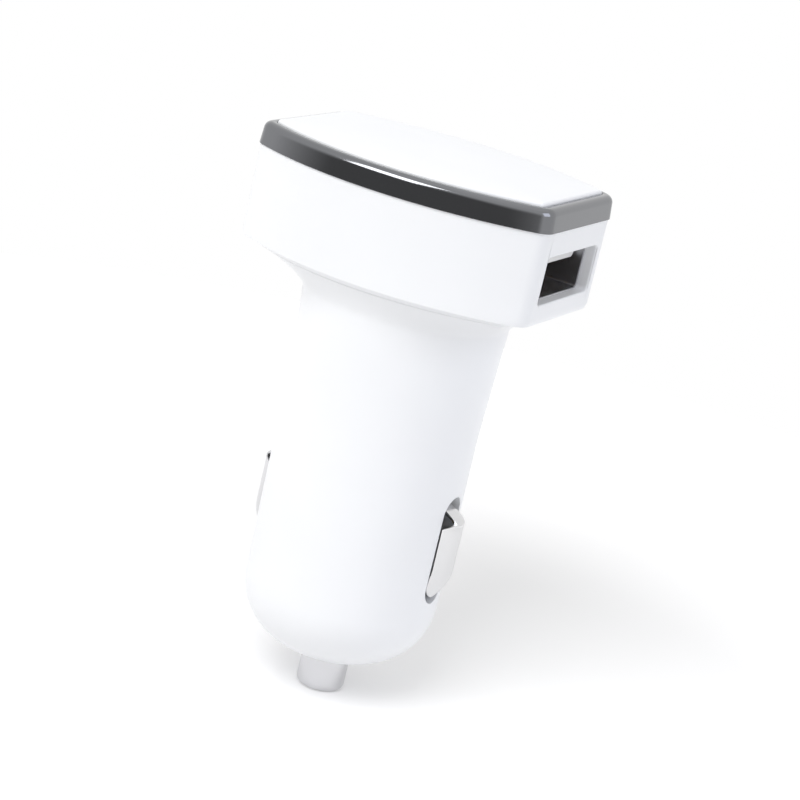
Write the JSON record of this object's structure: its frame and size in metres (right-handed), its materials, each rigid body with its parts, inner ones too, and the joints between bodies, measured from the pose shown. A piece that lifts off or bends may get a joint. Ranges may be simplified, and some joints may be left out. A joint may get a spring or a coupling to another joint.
{
  "type": "car usb charger plug",
  "caption": "Car charger plug: a round barrel with a sprung tip and side contacts, and a wide head with a USB socket in each end.",
  "frame": {"origin": "on the plug's axis at the end of the sprung tip, which is the bottom of the part's box", "axes": "+Z along the plug's axis from the tip to the top plate, +X towards one USB socket, +Y across the head"},
  "size_m": [0.033, 0.027, 0.0595],
  "materials": {
    "white_abs": "white moulded ABS, satin gloss",
    "smoked_chrome": "smoked chrome plate on moulded ABS",
    "nickel_plate": "nickel-plated, polished",
    "spring_steel": "plain spring steel wire",
    "tinned_steel": "tinned sheet",
    "brass": "plain brass",
    "gold_contact": "gold-flashed strip",
    "tongue_plastic": "white moulded nylon",
    "circuit_board": "green solder mask",
    "black_plastic": "black moulded epoxy",
    "ferrite": "dark grey ferrite",
    "can_aluminium": "plain drawn can",
    "red_lead": "red insulated wire",
    "ceramic": "tan ceramic"
  },
  "bodies": {
    "charger": {"housing": "white_abs", "rim_ring": "smoked_chrome", "top_plate": "white_abs", "head_board": "circuit_board", "barrel_board": "circuit_board", "usb_shell_right": "tinned_steel", "usb_shell_left": "tinned_steel", "usb_tongue_right": "tongue_plastic", "usb_tongue_left": "tongue_plastic", "usb_pins_right": "gold_contact", "usb_pins_left": "gold_contact", "contact_spring": "spring_steel", "spring_seat": "brass", "contact_lead_right": "red_lead", "contact_lead_left": "red_lead", "inductor": "ferrite", "input_capacitor": "can_aluminium", "output_capacitor": "can_aluminium", "converter_chip": "black_plastic", "diode": "black_plastic", "fuse": "ceramic", "chip_parts": "ceramic"},
    "tip": {"centre_contact": "nickel_plate"},
    "side_spring_right": {"side_contact_right": "nickel_plate"},
    "side_spring_left": {"side_contact_left": "nickel_plate"}
  },
  "joints": [
    {"name": "tip_slide", "type": "slide", "parent": "charger", "child": "tip", "axis": [0, 0, 1], "range_m": [0, 0.0022], "stiffness_N_per_m": 1000, "deforming": ["contact_spring"]},
    {"name": "side_flex_right", "type": "hinge", "parent": "charger", "child": "side_spring_right", "pos_m": [0.0084, 0, 0.0278], "axis": [0, 1, 0], "range_deg": [0, 14], "stiffness_Nm_per_rad": 0.2},
    {"name": "side_flex_left", "type": "hinge", "parent": "charger", "child": "side_spring_left", "pos_m": [-0.0084, 0, 0.0278], "axis": [0, -1, 0], "range_deg": [0, 14], "stiffness_Nm_per_rad": 0.2}
  ]
}
